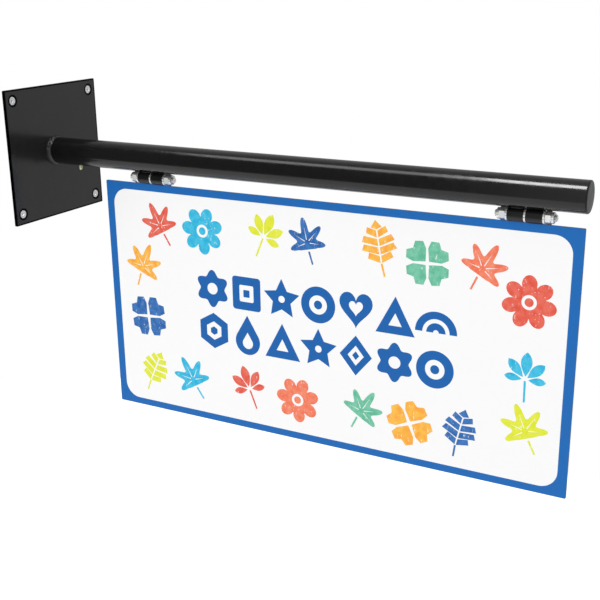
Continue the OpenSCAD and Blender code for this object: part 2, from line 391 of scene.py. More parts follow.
@dataclass(frozen=True)
class TurnedBrass(Finish):
    """Brass that was bright, with tarnish in blotches."""

    colour: Colour = (0.95, 0.95, 0.64)

    def material(self) -> bpy.types.Material:
        """Builds the brass."""
        graph = self.graph()
        tarnish = graph.span(graph.noise(500, 4), 0.5, 0.72)
        colour = graph.blend(tarnish, self.colour, (0.3, 0.22, 0.09), 0.6)
        rough = graph.span(tarnish, 0.0, 1.0, 0.22, 0.42)
        normal = graph.relief(graph.noise(2600, 2), 0.008 * MM)
        return graph.surface(Base_Color=colour, Metallic=1.0, Roughness=rough, Normal=normal)


@dataclass(frozen=True)
class Moulding(Finish):
    """Moulded plastic with a fine spark-eroded grain and faint flow marks."""

    roughness: float = 0.45
    grain_depth: float = 0.02 * MM
    translucence: float = 0.0
    specular_level: float = 0.5

    def material(self) -> bpy.types.Material:
        """Builds the plastic."""
        graph = self.graph()
        flow = graph.noise(1, 3, graph.stretched(30, 120, 60))
        colour = self.drifting(graph, flow, 0.88, 1.14)
        colour = graph.blend(graph.rims(0.5 * MM), colour, tinted(self.colour, 1.9), 0.3)
        return graph.surface(
            Base_Color=colour,
            Roughness=graph.swing(flow, self.roughness, 0.05, 0.05),
            Normal=graph.relief(graph.noise(2300, 3), self.grain_depth),
            Subsurface_Weight=self.translucence,
            Subsurface_Radius=(1.0, 0.9, 0.7),
            Subsurface_Scale=1.5 * MM,
            Specular_IOR_Level=self.specular_level,
        )


@dataclass(frozen=True)
class PrintedFilm(Finish):
    """A satin film with print on it: an even colour, a whisper of ink mottle and film texture."""

    mottle: float = 0.03
    roughness: float = 0.38

    def material(self) -> bpy.types.Material:
        """Builds the film."""
        graph = self.graph()
        colour = self.drifting(graph, graph.noise(45, 4), 1 - self.mottle, 1 + self.mottle)
        colour = graph.blend(graph.noise(1500, 1), colour, tinted(self.colour, 0.8), self.mottle)
        rough = graph.swing(graph.noise(110, 3), self.roughness, 0.03, 0.04)
        normal = graph.relief(graph.noise(260, 2), 0.01 * MM)
        return graph.surface(Base_Color=colour, Roughness=rough, Specular_IOR_Level=0.35, Normal=normal)


@dataclass(frozen=True)
class DabbedPaint(Finish):
    """Finger paint dabbed on with a leaf: full in the middle of a dab, thin and speckled elsewhere."""

    thin: Colour
    bare: Colour = (0.93, 0.93, 0.93)

    def material(self) -> bpy.types.Material:
        """Builds the paint."""
        graph = self.graph()
        wet = graph.span(graph.noise(95, 3), 0.38, 0.66)
        streaks = graph.noise(1, 4, graph.stretched(330, 330, 120))
        speckle = graph.noise(640, 4)
        gaps = graph.span(graph.maths("ADD", streaks, graph.maths("MULTIPLY", speckle, 0.6)), 0.97, 1.06)
        colour = graph.blend(gaps, graph.blend(wet, self.thin, self.colour), self.bare, 0.85)
        rough = graph.span(wet, 0.0, 1.0, 0.5, 0.34)
        normal = graph.relief(graph.maths("SUBTRACT", wet, gaps), 0.04 * MM)
        return graph.surface(Base_Color=colour, Roughness=rough, Normal=normal)


# Shapes


@dataclass(frozen=True)
class Axis:
    """Where a turned piece starts, and whether it runs out along the arm (1) or to the wall (-1)."""

    x: float
    y: float = 0.0
    z: float = 0.0
    facing: int = 1

    def point(self, along: float, radius: float, angle: float) -> Vector:
        """A point at a distance along the axis, at a radius and an angle from straight up."""
        return Vector(
            (
                self.x + self.facing * along,
                self.y + radius * math.sin(angle),
                self.z + radius * math.cos(angle),
            )
        )


@dataclass(frozen=True)
class Span:
    """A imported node's stretch of X, with its axis and its greatest radius."""

    start: float
    end: float
    y: float
    z: float
    radius: float

    @classmethod
    def of(cls, node: str) -> Span:
        """Reads a round node's place from the frame.

        Args:
            node: the node's name.

        Returns:
            Its span.
        """
        low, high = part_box(node)
        middle = (low + high) / 2
        return cls(low.x, high.x, middle.y, middle.z, (high.y - low.y) / 2)

    @property
    def length(self) -> float:
        """How far the span runs along X."""
        return self.end - self.start

    def outward(self) -> Axis:
        """An axis that runs out along the arm from the span's start."""
        return Axis(self.start, self.y, self.z, 1)

    def wallward(self) -> Axis:
        """An axis that runs to the wall from the span's end."""
        return Axis(self.end, self.y, self.z, -1)


def settle(piece: bpy.types.Object) -> None:
    """Makes a piece's modifiers part of its mesh."""
    settled = bpy.data.meshes.new_from_object(piece.evaluated_get(bpy.context.evaluated_depsgraph_get()))
    piece.modifiers.clear()
    piece.data = settled


def shade(piece: bpy.types.Object) -> None:
    """Shades a piece smooth but for its sharp edges, with normals that follow its large faces."""
    piece.data.shade_smooth()
    piece.data.set_sharp_from_angle(angle=math.radians(SHARP_DEG))
    piece.modifiers.new("large_faces_lead", "WEIGHTED_NORMAL").keep_sharp = True
    settle(piece)


def finished_mesh(name: str, mesh: bmesh.types.BMesh) -> bpy.types.Object:
    """Cleans a mesh, makes it an object of the scene and shades it.

    Args:
        name: the piece's name.
        mesh: the mesh, which is freed.

    Returns:
        The object.
    """
    tiny = 1e-7
    bmesh.ops.remove_doubles(mesh, verts=mesh.verts, dist=tiny)
    bmesh.ops.dissolve_degenerate(mesh, edges=mesh.edges, dist=tiny)
    bmesh.ops.recalc_face_normals(mesh, faces=mesh.faces)
    data = bpy.data.meshes.new(name)
    mesh.to_mesh(data)
    mesh.free()
    made = bpy.data.objects.new(name, data)
    bpy.context.scene.collection.objects.link(made)
    shade(made)
    return made


def turned(
    name: str, axis: Axis, profile_at: ProfileAt, steps: int = ROUND_STEPS, closed: bool = True
) -> bpy.types.Object:
    """A piece swept round an axis, whose profile may change with the angle.

    Args:
        name: the piece's name.
        axis: where it stands.
        profile_at: gives the profile at an angle, as (along, radius) points in metres.
        steps: how many steps go round.
        closed: whether the profile's last point joins its first, as on a sleeve.

    Returns:
        The object.
    """
    mesh = bmesh.new()
    rings = []
    for step in range(steps):
        angle = TURN * step / steps
        rings.append([mesh.verts.new(axis.point(x, r, angle)) for x, r in profile_at(angle)])
    count = len(rings[0])
    for step in range(steps):
        here = rings[step]
        there = rings[(step + 1) % steps]
        for i in range(count if closed else count - 1):
            j = (i + 1) % count
            mesh.faces.new((here[i], here[j], there[j], there[i]))
    return finished_mesh(name, mesh)


def joined(name: str, parts: Sequence[bpy.types.Object]) -> bpy.types.Object:
    """Makes one piece of several solids.

    Args:
        name: the new piece's name.
        parts: the solids, which are removed.

    Returns:
        The object.
    """
    mesh = bmesh.new()
    for part in parts:
        mesh.from_mesh(part.data)
        bpy.data.objects.remove(part)
    return finished_mesh(name, mesh)


def cut_away(piece: bpy.types.Object, cutter: bpy.types.Object) -> None:
    """Takes a cutter's shape out of a piece.

    Args:
        piece: the piece.
        cutter: the cutter, which is removed.
    """
    step = piece.modifiers.new("cut", "BOOLEAN")
    step.object = cutter
    step.solver = "EXACT"
    settle(piece)
    shade(piece)
    bpy.data.objects.remove(cutter)


def rounded(profile: Sequence[Point], radius: float, closed: bool = True, cuts: int = 3) -> list[Point]:
    """Rounds a profile's corners.

    Args:
        profile: the corners.
        radius: how far from a corner the rounding starts, in metres.
        closed: whether the last corner joins the first.
        cuts: how many points stand for each corner.

    Returns:
        The rounded profile.
    """
    count = len(profile)
    most_of_side = 0.45
    never_zero = 1e-9
    made: list[Point] = []
    for i, corner in enumerate(profile):
        if not closed and i in (0, count - 1):
            made.append(corner)
            continue
        here = Vector(corner)
        before = Vector(profile[i - 1]) - here
        after = Vector(profile[(i + 1) % count]) - here
        first = here + before * min(most_of_side, radius / max(before.length, never_zero))
        last = here + after * min(most_of_side, radius / max(after.length, never_zero))
        for cut in range(cuts):
            t = cut / (cuts - 1)
            bent = first * (1 - t) ** 2 + here * 2 * t * (1 - t) + last * t**2
            made.append((bent.x, bent.y))
    return made


def plain(profile: Sequence[Point]) -> ProfileAt:
    """A profile that is the same at every angle."""
    return lambda angle: profile


def hex_radius(angle: float, flat_r: float) -> float:
    """The radius of a hexagon with a corner straight up, at an angle."""
    side = math.radians(60)
    return flat_r / math.cos((angle % side) - side / 2)


@dataclass(frozen=True)
class Thread:
    """A right-hand metric thread: its crest radius and pitch, and the cone that starts it."""

    crest_r: float
    pitch: float
    cone: float
    depth_per_pitch: float = 0.61
    samples_per_pitch: int = 8

    def share_cut(self, along: float, angle: float) -> float:
        """How far the thread lies below its crest at a place, from 0 to 1."""
        phase = (along / self.pitch + angle / TURN) % 1.0
        crest_half = 1 / 16
        flank = 5 / 16
        return min(1.0, max(0.0, (min(phase, 1 - phase) - crest_half) / flank))

    def profile(self, start: float, end: float, angle: float, tip: float) -> list[Point]:
        """The thread's outline between two places on its axis.

        Args:
            start: where the outline starts.
            end: where it ends, which may lie before the start.
            angle: the angle round the axis.
            tip: the place that the cone leads to.

        Returns:
            The outline.
        """
        count = max(2, round(abs(end - start) / self.pitch * self.samples_per_pitch))
        depth = self.depth_per_pitch * self.pitch
        made = []
        for i in range(count + 1):
            x = start + (end - start) * i / count
            thread_r = self.crest_r - depth * self.share_cut(x, angle)
            cone_r = self.crest_r - self.cone + abs(x - tip)
            made.append((x, min(thread_r, cone_r)))
        return made


def ripple(phase: float) -> float:
    """One wave of a weld bead, from 0 in the valley to 1 on its broad crest."""
    breadth = 1.6
    return abs(math.sin(math.pi * phase)) ** (1 / breadth)


def to_circle(angle: float, centre: float, radius: float) -> float:
    """How far a ray runs from the origin to a circle whose centre stands straight up.

    Args:
        angle: the ray's angle from straight up.
        centre: how far up the circle's centre is, negative for down.
        radius: the circle's radius.

    Returns:
        The distance, or FAR where the ray misses.
    """
    cosine = math.cos(angle)
    under_root = (centre * cosine) ** 2 - centre**2 + radius**2
    if under_root < 0 or centre * cosine <= 0:
        return FAR
    return centre * cosine - math.sqrt(under_root)


def sheet(
    name: str, outlines: Sequence[Outline], thickness: float, place: Matrix, edge_r: float = 0.0
) -> bpy.types.Object:
    """A flat piece cut to outlines; an outline inside another is a hole.

    Args:
        name: the piece's name.
        outlines: closed outlines in the sheet's plane, in metres.
        thickness: the sheet's thickness in metres.
        place: carries the sheet, centred on its own plane, to where it belongs.
        edge_r: the radius that its edges are rounded to.

    Returns:
        The object.
    """
    curve = bpy.data.curves.new(name, "CURVE")
    curve.dimensions = "2D"
    curve.fill_mode = "BOTH"
    curve.extrude = thickness / 2 - edge_r
    curve.bevel_depth = edge_r
    curve.bevel_resolution = 2 if edge_r else 0
    curve.offset = -edge_r
    for outline in outlines:
        spline = curve.splines.new("POLY")
        spline.points.add(len(outline) - 1)
        for target, (x, y) in zip(spline.points, outline):
            target.co = (x, y, 0.0, 1.0)
        spline.use_cyclic_u = True
    pattern = bpy.data.objects.new(name, curve)
    flat = bpy.data.meshes.new_from_object(pattern)
    bpy.data.objects.remove(pattern)
    bpy.data.curves.remove(curve)
    mesh = bmesh.new()
    mesh.from_mesh(flat)
    bpy.data.meshes.remove(flat)
    mesh.transform(place)
    return finished_mesh(name, mesh)


def wear(piece: bpy.types.Object, finish: bpy.types.Material) -> None:
    """Gives a piece one finish, and no other."""
    piece.data.materials.clear()
    piece.data.materials.append(finish)


def wearing(*finishes: bpy.types.Material) -> list[bpy.types.Object]:
    """The pieces that wear one of some finishes."""
    pieces = bpy.data.objects
    return [piece for piece in pieces if any(slot.material in finishes for slot in piece.material_slots)]


def seat(
    piece: bpy.types.Object,
    finish: bpy.types.Material,
    body: Body,
    stands_for: Sequence[str] = (),
) -> None:
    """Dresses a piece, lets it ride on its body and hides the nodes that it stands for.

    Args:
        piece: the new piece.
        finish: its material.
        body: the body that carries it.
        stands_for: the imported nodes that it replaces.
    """
    wear(piece, finish)
    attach(piece, body.value)
    if stands_for:
        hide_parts(*stands_for)
    LOG.info("%s rides on %s, %d faces", piece.name, body.value, len(piece.data.polygons))


def dress_node(node: str, finish: bpy.types.Material) -> None:
    """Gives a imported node, whose own shape is right, its finish."""
    wear(frame["nodes"][node], finish)
    LOG.info("%s keeps its packed shape", node)


def round_rectangle(width: float, height: float, corner_r: float) -> Outline:
    """A rectangle with round corners, centred on the origin.

    Args:
        width: its width.
        height: its height.
        corner_r: the radius of its corners.

    Returns:
        The outline.
    """
    steps = 8
    made = []
    for quarter, (right, up) in enumerate(((1, 1), (-1, 1), (-1, -1), (1, -1))):
        centre = (right * (width / 2 - corner_r), up * (height / 2 - corner_r))
        for step in range(steps + 1):
            angle = math.pi / 2 * (quarter + step / steps)
            made.append((centre[0] + corner_r * math.cos(angle), centre[1] + corner_r * math.sin(angle)))
    return made


def ring(radius: float, steps: int = 48) -> Outline:
    """A circle as an outline."""
    angles = [TURN * i / steps for i in range(steps)]
    return [(radius * math.cos(angle), radius * math.sin(angle)) for angle in angles]


# The wall plate and its screws


@dataclass(frozen=True)
class ScrewPattern:
    """Where the four wall screws stand, and the sizes that screws and holes share."""

    pitch: float = 210 * MM
    head_r: float = 7.5 * MM
    head_sunk: float = 0.5 * MM
    head_land: float = 0.4 * MM

    def axes(self, face: float) -> list[Axis]:
        """The four screws' axes, from the plate's face outwards."""
        half = self.pitch / 2
        return [Axis(face, y * half, z * half) for y in (-1, 1) for z in (-1, 1)]


@dataclass
class WallPlate:
    """The square plate with its four countersunk holes, laser cut and powder coated."""

    pattern: ScrewPattern
    coat: PowderCoat
    hole_r: float = 4.5 * MM
    corner_r: float = 2 * MM
    edge_r: float = 0.5 * MM
    lip_round: float = 0.25 * MM

    @property
    def cone_r(self) -> float:
        """The radius of a hole's countersink at the plate's face."""
        return self.pattern.head_r + self.pattern.head_sunk + self.pattern.head_land

    def hole_profile(self, plate_t: float) -> list[Point]:
        """The cutter of one hole: a cone whose lip is broken, and a straight hole behind it."""
        over = 2 * MM
        return [
            (over, 0.0),
            (over, self.cone_r + over),
            (0.0, self.cone_r + self.lip_round),
            (-self.lip_round, self.cone_r - self.lip_round),
            (self.hole_r - self.cone_r, self.hole_r),
            (-plate_t - over, self.hole_r),
            (-plate_t - over, 0.0),
        ]

    def build(self) -> None:
        """Builds the plate, with dark bands of painted shade along its outline and round its holes."""
        low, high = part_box("wall_plate")
        side = high.y - low.y
        thickness = high.x - low.x
        outline = round_rectangle(side, side, self.corner_r)
        facing_out = Matrix(((0, 0, 1, (low.x + high.x) / 2), (1, 0, 0, 0), (0, 1, 0, 0), (0, 0, 0, 1)))
        plate = sheet("wall_plate_coated", [outline], thickness, facing_out, self.edge_r)
        profile = plain(self.hole_profile(thickness))
        for axis in self.pattern.axes(high.x):
            cut_away(plate, turned("countersink_cutter", axis, profile, closed=False))
        # Painted shade: dark bands along the plate's outline and round its countersinks
        edge_shade = PaintedEdgeShade(high.y, self.pattern.pitch / 2, self.cone_r)
        seat(plate, replace(self.coat, painted_edge_shade=edge_shade).material(), Body.ARM, ["wall_plate"])


@dataclass
class WallScrews:
    """Four countersunk screws with hexagon sockets, necked shanks and rolled threads."""

    pattern: ScrewPattern
    plating: bpy.types.Material
    socket_flat_r: float = 2.5 * MM
    socket_depth: float = 2.6 * MM
    socket_mouth: float = 0.2 * MM
    socket_point: float = 0.9 * MM
    socket_floor: float = 0.94
    rim_round: float = 0.4 * MM
    rim_bend: float = 0.3
    neck_r: float = 3.8 * MM
    thread: Thread = Thread(4 * MM, 1.25 * MM, 1 * MM)

    def profile(self, angle: float, plate_t: float, tip: float) -> list[Point]:
        """One screw's outline, from the bottom of its socket to its tip.

        Args:
            angle: the angle round its axis.
            plate_t: how far the plate's back face lies from its front face.
            tip: how far the tip lies from the front face.

        Returns:
            The outline, with 0 on the plate's face.
        """
        top = -self.pattern.head_sunk
        bottom = top - self.socket_depth
        cone = top - self.pattern.head_land
        head_r = self.pattern.head_r
        bend = self.rim_round * self.rim_bend
        socket_r = hex_radius(angle, self.socket_flat_r)
        socket = [
            (bottom - self.socket_point, 0.0),
            (bottom, self.socket_flat_r * self.socket_floor),
            (bottom, socket_r),
            (top - self.socket_mouth, socket_r),
            (top, socket_r + self.socket_mouth),
        ]
        head = [
            (top, head_r - self.rim_round),
            (top - bend, head_r - bend),
            (top - self.rim_round, head_r),
            (cone, head_r),
            (cone - (head_r - self.neck_r), self.neck_r),
            (-plate_t, self.neck_r),
        ]
        return [*socket, *head, *self.thread.profile(-plate_t, -tip, angle, -tip), (-tip, 0.0)]

    def build(self) -> None:
        """Builds the four screws as one piece."""
        low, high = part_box("wall_plate")
        tip = high.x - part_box("wall_screws")[0].x
        screws = [
            turned("wall_screw", axis, lambda angle: self.profile(angle, high.x - low.x, tip), closed=False)
            for axis in self.pattern.axes(high.x)
        ]
        seat(joined("wall_screws_zinc", screws), self.plating, Body.ARM, ["wall_screws"])


# The arm


@dataclass
class Arm:
    """The round tube, the weld at its foot, the cap in its end and the drain screw under it."""

    coat: bpy.types.Material
    weld_coat: bpy.types.Material
    plastic: bpy.types.Material
    brass: bpy.types.Material
    round_steps: int = 144
    wall: float = 3 * MM
    tube_edge_r: float = 0.5 * MM
    drain_thread: Thread = Thread(2 * MM, 0.7 * MM, 0.4 * MM)
    drain_head_round: float = 0.9 * MM
    drain_slot_w: float = 1.2 * MM
    drain_slot_depth: float = 1.5 * MM
    weld_leg: float = 4 * MM
    weld_run: float = 9 * MM
    weld_ripples: int = 46
    ripple_h: float = 0.5 * MM
    clod_h: float = 4.5 * MM
    lapped_turn: float = 0.87
    lapped_half_w: float = 0.13
    full_turn: float = 0.59
    full_half_w: float = 0.2
    cap_t: float = 3 * MM
    cap_round: float = 2.2 * MM
    cap_crown: float = 0.7 * MM
    plug_fit: float = 0.05 * MM
    plug_wall: float = 2 * MM
    fin_count: int = 5
    fin_h: float = 2.5 * MM

    def tube(self) -> None:
        """Builds the tube with the drain screw's hole."""
        span = Span.of("arm_tube")
        inside = span.radius - self.wall
        corners = [(0.0, inside), (0.0, span.radius), (span.length, span.radius), (span.length, inside)]
        profile = plain(rounded(corners, self.tube_edge_r))
        piece = turned("arm_tube_coated", span.outward(), profile, steps=self.round_steps)
        low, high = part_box("drain_screw")
        drill = bmesh.new()
        bmesh.ops.create_cone(
            drill,
            cap_ends=True,
            segments=32,
            radius1=self.drain_thread.crest_r,
            radius2=self.drain_thread.crest_r,
            depth=10 * self.wall,
            matrix=Matrix.Translation(((low.x + high.x) / 2, 0.0, -span.radius)),
        )
        cut_away(piece, finished_mesh("drain_drill", drill))
        seat(piece, self.coat, Body.ARM, ["arm_tube"])

    @staticmethod
    def share_near(angle: float, middle_turn: float, half_w: float) -> float:
        """A share that is 1 at a place round the arm and falls to 0 a half width from it, in turns."""
        away = abs((angle / TURN - middle_turn + 0.5) % 1.0 - 0.5)
        return math.cos(math.pi / 2 * min(1.0, away / half_w)) ** 0.7

    def foot_weld_profile(self, angle: float, foot_r: float) -> list[Point]:
        """The foot weld's outline at an angle: a smooth fillet, fullest below, lapped over in one place.

        Args:
            angle: the angle round the arm.
            foot_r: the arm's radius.

        Returns:
            The outline, with 0 on the plate's face.
        """
        lapped = self.share_near(angle, self.lapped_turn, self.lapped_half_w)
        full = self.share_near(angle, self.full_turn, self.full_half_w)
        round_arm = Vector((math.cos(angle), math.sin(angle), 0.0))
        wander = noise.noise(round_arm * 2.3 + Vector((0.0, 0.0, 0.3)))
        # The shares of the full leg and the full run that the bead has at this angle
        leg = self.weld_leg * (0.72 + 0.22 * full + 0.04 * wander)
        run = self.weld_run * (0.56 + 0.36 * full + 0.26 * lapped + 0.05 * wander)
        made = []
        steps = 16
        for i in range(steps + 1):
            t = i / steps
            across = math.sin(math.pi * t)
            phase = angle / TURN * self.weld_ripples + 0.35 * across
            fine_lump = noise.noise(round_arm * 9 + Vector((0.0, 0.0, t * 1.5)))
            clod = noise.noise(round_arm * 6.5 + Vector((3.1, 0.0, t * 2.4)))
            # The face bulges out, with faint ripples where it is smooth and clods where it is lapped
            smooth = 0.9 * MM + 0.25 * self.ripple_h * (ripple(phase) - 1) + 0.2 * MM * fine_lump
            rough = 0.1 * MM + self.clod_h * clod + 0.8 * MM * fine_lump
            swell = across * (smooth * (1 - lapped) + rough * lapped)
            x = run * t + swell * leg / (leg + run)
            r = foot_r + leg * (1 - t) + swell * run / (leg + run)
            made.append((min(x, self.weld_run), min(max(r, foot_r), foot_r + self.weld_leg)))
        return [*made, (0.0, foot_r)]

    def foot_weld(self) -> None:
        """Builds the weld between arm and plate."""
        tube = Span.of("arm_tube")
        axis = Axis(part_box("base_weld")[0].x, tube.y, tube.z)

        def outline(angle: float) -> list[Point]:
            """The bead's outline at an angle."""
            return self.foot_weld_profile(angle, tube.radius)

        piece = turned("base_weld_bead", axis, outline, steps=5 * self.round_steps)
        seat(piece, self.weld_coat, Body.ARM, ["base_weld"])

    def cap(self) -> None:
        """Builds the end cap: a crowned rim, and a finned plug inside the tube."""
        span = Span.of("arm_end_cap")
        plug_l = span.length - self.cap_t
        fin_r = Span.of("arm_tube").radius - self.wall - self.plug_fit
        sleeve_r = fin_r - self.fin_h
        bore_r = sleeve_r - self.plug_wall
        pitch = plug_l / self.fin_count
        fin = ((0.0, sleeve_r), (0.6, fin_r), (0.85, fin_r), (0.85, sleeve_r))
        plug = [(0.0, bore_r)]
        for i in range(self.fin_count):
            plug += [((i + share) * pitch, r) for share, r in fin]
        shoulder = span.length - self.cap_crown - self.cap_round
        face_r = span.radius - self.cap_round
        steps = 8
        edge = []
        for i in range(steps + 1):
            turn = math.pi / 2 * i / steps
            x = shoulder + self.cap_round * math.sin(turn)
            edge.append((x, face_r + self.cap_round * math.cos(turn)))
        shares = [i / steps for i in range(steps - 1, -1, -1)]
        crown = [(span.length - self.cap_crown * share**2, face_r * share) for share in shares]
        rim = [(plug_l, sleeve_r), (plug_l, span.radius), *edge, *crown]
        outline = [*plug, *rim, (plug_l, 0.0), (plug_l, bore_r)]
        piece = turned("arm_end_cap_moulded", span.outward(), plain(outline), steps=self.round_steps)
        seat(piece, self.plastic, Body.ARM, ["arm_end_cap"])

    def drain_screw(self) -> None:
        """Builds the slotted drain screw, whose head hangs below the tube."""
        low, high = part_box("drain_screw")
        centre = (low + high) / 2
        foot = Matrix.Translation((centre.x, centre.y, low.z))
        head_r = (high.x - low.x) / 2
        head_h = -Span.of("arm_tube").radius - low.z
        corners = [(0.0, 0.0), (0.0, head_r * 0.8), (head_h * 0.45, head_r), (head_h, head_r)]
        pan = rounded(corners, self.drain_head_round, closed=False)
        tip = high.z - low.z

        def outline(angle: float) -> list[Point]:
            """The screw's outline from the middle of its head to its tip."""
            return [*pan, *self.drain_thread.profile(head_h, tip, angle, tip), (tip, 0.0)]

        piece = turned("drain_screw_turned", Axis(0.0), outline, steps=64, closed=False)
        piece.data.transform(foot @ Matrix.Rotation(-math.pi / 2, 4, "Y"))
        saw = bmesh.new()
        blade = Matrix.Diagonal((4 * head_r, self.drain_slot_w, 2 * self.drain_slot_depth, 1.0))
        bmesh.ops.create_cube(saw, size=1.0, matrix=foot @ blade)
        cut_away(piece, finished_mesh("slot_saw", saw))
        seat(piece, self.brass, Body.ARM, ["drain_screw"])

    def build(self) -> None:
        """Builds the arm, from its tube outwards."""
        self.tube()
        self.foot_weld()
        self.cap()
        self.drain_screw()


# The hinges


@dataclass
class Hinge:
    """One barrel hinge: two welded barrels with bushes, a stud, washers and two lock nuts."""

    which: Which
    coat: bpy.types.Material
    weld_coat: bpy.types.Material
    plating: bpy.types.Material
    nylon: bpy.types.Material
    ring_nylon: bpy.types.Material
    barrel_wall: float = 3 * MM
    barrel_edge_r: float = 0.8 * MM
    bush_edge_r: float = 0.35 * MM
    washer_edge_r: float = 0.3 * MM
    ring_edge_r: float = 0.2 * MM
    running_fit: float = 0.05 * MM
    thread_fit: float = 0.05 * MM
    washer_fit: float = 0.5 * MM
    thread_l: float = 22 * MM
    thread_pitch: float = 1.75 * MM
    stud_cone: float = 1.2 * MM
    stud_centre_r: float = 1.3 * MM
    stud_centre_depth: float = 1.2 * MM
    nut_flat_r: float = 9.5 * MM
    nut_mouth: float = 0.5 * MM
    nut_land: float = 0.15 * MM
    nut_foot_share: float = 0.96
    nut_top_share: float = 0.97
    nut_edge_r: float = 0.22 * MM
    collar_h: float = 4 * MM
    collar_step: float = 0.4 * MM
    collar_wall: float = 1.2 * MM
    lip_h: float = 0.7 * MM
    lip_drop: float = 0.1 * MM
    lip_overlap: float = 0.9 * MM
    ring_t: float = 2.2 * MM
    arm_bead_r: float = 4.5 * MM
    panel_bead_r: float = 3 * MM
    bead_pitch: float = 2.4 * MM
    bead_valley: float = 0.5 * MM
    bead_lump: float = 0.35 * MM
    bead_least_r: float = 0.2 * MM
    bead_bite: float = 0.05 * MM
    bead_steps: int = 54

    def node(self, rest: str) -> str:
        """The full name of one of this hinge's nodes."""
        return f"{self.which.value}_{rest}"

    @property
    def stud_r(self) -> float:
        """The stud's radius."""
        return Span.of(self.node("hinge_stud")).radius

    @property
    def pocket_r(self) -> float:
        """The radius of the pocket in a nut's collar, which holds the nylon ring."""
        return self.nut_flat_r - self.collar_step - self.collar_wall

    @staticmethod
    def sleeve_profile(length: float, bore_r: float, outer_r: float, edge_r: float) -> list[Point]:
        """A sleeve's outline with rounded edges."""
        return rounded([(0.0, bore_r), (0.0, outer_r), (length, outer_r), (length, bore_r)], edge_r, cuts=4)

    def sleeve(
        self, rest: str, bore_r: float, edge_r: float, body: Body, finish: bpy.types.Material
    ) -> None:
        """Builds a barrel, a bush or a washer in its node's place.

        Args:
            rest: the node's name after the hinge's.
            bore_r: the radius of its bore.
            edge_r: how far its edges are rounded.
            body: the body that carries it.
            finish: its material.
        """
        span = Span.of(self.node(rest))
        profile = plain(self.sleeve_profile(span.length, bore_r, span.radius, edge_r))
        piece = turned(f"{self.node(rest)}_turned", span.outward(), profile)
        seat(piece, finish, body, [self.node(rest)])

    def barrels(self) -> None:
        """Builds both barrels and the bushes pressed into them."""
        for end, body in (("arm", Body.ARM), ("panel", Body.PANEL)):
            bore_r = Span.of(self.node(f"{end}_barrel")).radius - self.barrel_wall
            self.sleeve(f"{end}_barrel", bore_r, self.barrel_edge_r, body, self.coat)
            fit_r = self.stud_r + self.running_fit
            self.sleeve(f"{end}_bush", fit_r, self.bush_edge_r, body, self.nylon)

    def bead(
        self, rest: str, height: float, bead_r: float, reach: Callable[[float], float], body: Body
    ) -> None:
        """Builds a weld bead that runs along a barrel.

        Args:
            rest: the node's name after the hinge's.
            height: where its middle line lies, along Z.
            bead_r: its radius.
            reach: how far the metal round it is, at an angle.
            body: the body that carries it.
        """
        low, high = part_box(self.node(rest))
        length = high.x - low.x

        def radius(x: float, angle: float) -> float:
            """The bead's radius at a distance along it and an angle round its middle line."""
            taper = math.sqrt(min(1.0, 0.25 + min(x, length - x) / (1.2 * bead_r)))
            wave = ripple(x / self.bead_pitch + 0.3 * abs(math.cos(angle)))
            lump = noise.noise(Vector((x * 260, math.sin(angle) * 1.5, low.x * 37)))
            free = bead_r * taper - self.bead_valley * (1 - wave) - self.bead_lump * (0.5 - 0.5 * lump)
            return max(self.bead_least_r, min(free, reach(angle) + self.bead_bite))

        def outline(angle: float) -> list[Point]:
            """The bead's outline at an angle."""
            places = [length * i / self.bead_steps for i in range(self.bead_steps + 1)]
            return [(0.0, 0.0), *((x, radius(x, angle)) for x in places), (length, 0.0)]

        axis = Axis(low.x, 0.0, height)
        piece = turned(f"{self.node(rest)}_bead", axis, outline, steps=72, closed=False)
        seat(piece, self.weld_coat, body, [self.node(rest)])

    def welds(self) -> None:
        """Builds the welds that hold the barrels to the arm and to the panel."""
        barrel = Span.of(self.node("arm_barrel"))
        arm_r = Span.of("arm_tube").radius
        arm_gap = -arm_r - (barrel.z + barrel.radius)
        height = -arm_r - arm_gap / 2
        panel_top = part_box("panel_plate")[1].z
        panel_gap = barrel.z - barrel.radius - panel_top
        low_height = panel_top + panel_gap / 2

        def to_arm_or_barrel(angle: float) -> float:
            """How far the arm above or the barrel below is."""
            below = to_circle(angle, barrel.z - height, barrel.radius)
            return min(to_circle(angle, -height, arm_r), below)

        def to_barrel_or_edge(angle: float) -> float:
            """How far the barrel above or the panel's top edge below is."""
            below = -panel_gap / 2 / math.cos(angle) if math.cos(angle) < 0 else FAR
            return min(to_circle(angle, barrel.z - low_height, barrel.radius), below)

        self.bead("arm_barrel_weld", height, self.arm_bead_r, to_arm_or_barrel, Body.ARM)
        self.bead("panel_barrel_weld", low_height, self.panel_bead_r, to_barrel_or_edge, Body.PANEL)

    def stud(self) -> None:
        """Builds the stud: threaded at both ends, plain where the bushes run."""
        span = Span.of(self.node("hinge_stud"))
        thread = Thread(span.radius, self.thread_pitch, self.stud_cone)
        relief = 0.01 * MM
        runout = 0.6 * MM
        plain_r = span.radius - relief
        plain_from = self.thread_l + runout

        def outline(angle: float) -> list[Point]:
            """The stud's outline from one end's centre to the other's."""
            return [
                (self.stud_centre_depth, 0.0),
                (0.0, self.stud_centre_r),
                *thread.profile(0.0, self.thread_l, angle, 0.0),
                (plain_from, plain_r),
                (span.length - plain_from, plain_r),
                *thread.profile(span.length - self.thread_l, span.length, angle, span.length),
                (span.length, self.stud_centre_r),
                (span.length - self.stud_centre_depth, 0.0),
            ]

        name = f"{self.node('hinge_stud')}_threaded"
        piece = turned(name, span.outward(), outline, steps=72, closed=False)
        seat(piece, self.plating, Body.ARM, [self.node("hinge_stud")])

